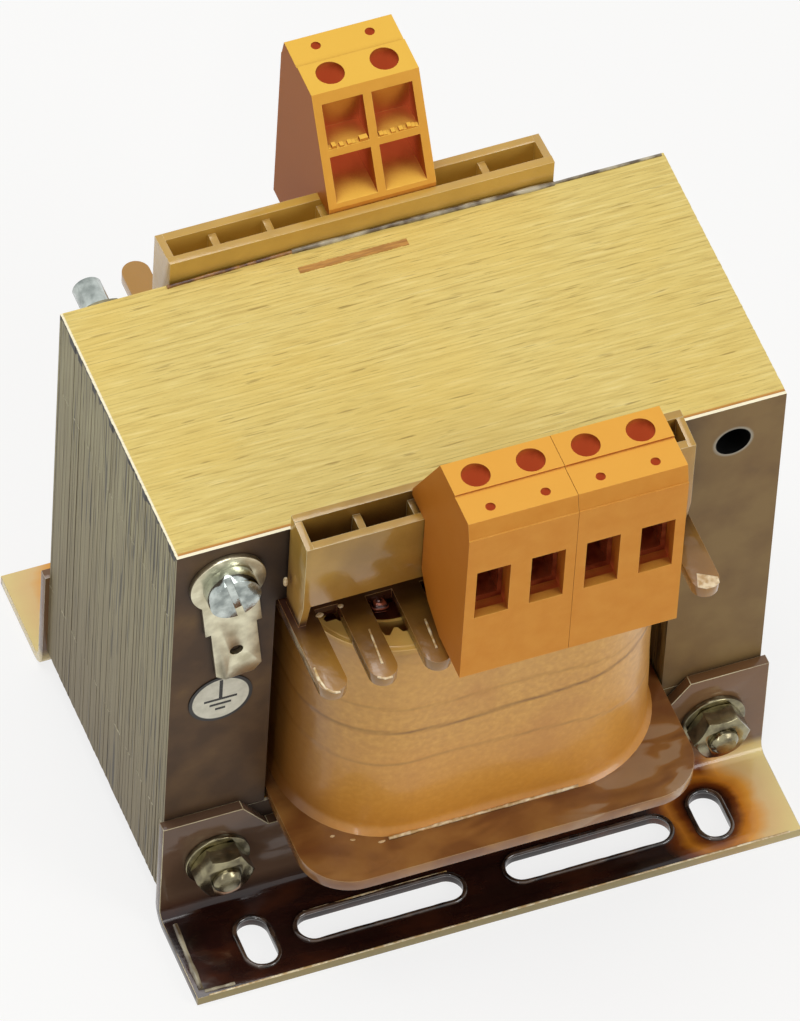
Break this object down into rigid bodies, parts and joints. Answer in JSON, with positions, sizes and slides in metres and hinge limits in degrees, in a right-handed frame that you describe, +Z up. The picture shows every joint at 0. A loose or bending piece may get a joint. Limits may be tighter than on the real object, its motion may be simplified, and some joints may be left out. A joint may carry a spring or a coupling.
{
  "type": "laminated chassis transformer",
  "caption": "Laminated chassis transformer with a varnished core, moulded coil former, plug-in screw terminals and slotted foot brackets",
  "frame": {"origin": "centre of the mounting footprint, on the plane that the feet stand on", "axes": "+Z up, from the feet to the terminals; X across the width of the core, along the long slots; -Y the side with two terminal housings and the earth tab; +Y the side with one terminal housing"},
  "size_m": [0.0852, 0.0842, 0.0922],
  "materials": {
    "core_varnish": "electrical steel sheets under a thin amber varnish",
    "former_plastic": "amber translucent moulding, dipped in varnish",
    "winding_wire": "enamelled copper wire",
    "coil_tape": "varnished polyester tape",
    "housing_plastic": "orange moulded plastic",
    "tinned_metal": "tin plate",
    "zinc_plate": "bright zinc plate",
    "passivated_zinc": "zinc plate under varnish",
    "bracket_varnish": "steel sheet under thick dark varnish",
    "label_print": "printed film"
  },
  "bodies": {
    "root": {"e_sheets_upright": "core_varnish", "e_sheets_inverted": "core_varnish", "i_bars_lower": "core_varnish", "i_bars_upper": "core_varnish", "coil_former": "former_plastic", "primary_winding": "winding_wire", "interlayer_insulation": "coil_tape", "secondary_winding": "winding_wire", "outer_tape": "coil_tape", "terminal_housing_1": "housing_plastic", "terminal_housing_2": "housing_plastic", "terminal_housing_3": "housing_plastic", "clamp_cage_1": "tinned_metal", "clamp_cage_2": "tinned_metal", "clamp_cage_3": "tinned_metal", "clamp_cage_4": "tinned_metal", "clamp_cage_5": "tinned_metal", "clamp_cage_6": "tinned_metal", "clamp_screw_1": "zinc_plate", "clamp_screw_2": "zinc_plate", "clamp_screw_3": "zinc_plate", "clamp_screw_4": "zinc_plate", "clamp_screw_5": "zinc_plate", "clamp_screw_6": "zinc_plate", "winding_lead_1": "winding_wire", "winding_lead_2": "winding_wire", "winding_lead_3": "winding_wire", "winding_lead_4": "winding_wire", "winding_lead_5": "winding_wire", "winding_lead_6": "winding_wire", "foot_bracket_front": "bracket_varnish", "foot_bracket_rear": "bracket_varnish", "core_bolt_left": "passivated_zinc", "core_bolt_right": "passivated_zinc", "core_nut_left": "passivated_zinc", "core_nut_right": "passivated_zinc", "washer_front_left": "passivated_zinc", "washer_front_right": "passivated_zinc", "washer_rear_left": "passivated_zinc", "washer_rear_right": "passivated_zinc", "earth_screw": "zinc_plate", "earth_tab": "tinned_metal", "earth_nut": "passivated_zinc", "earth_label": "label_print"}
  },
  "joints": []
}
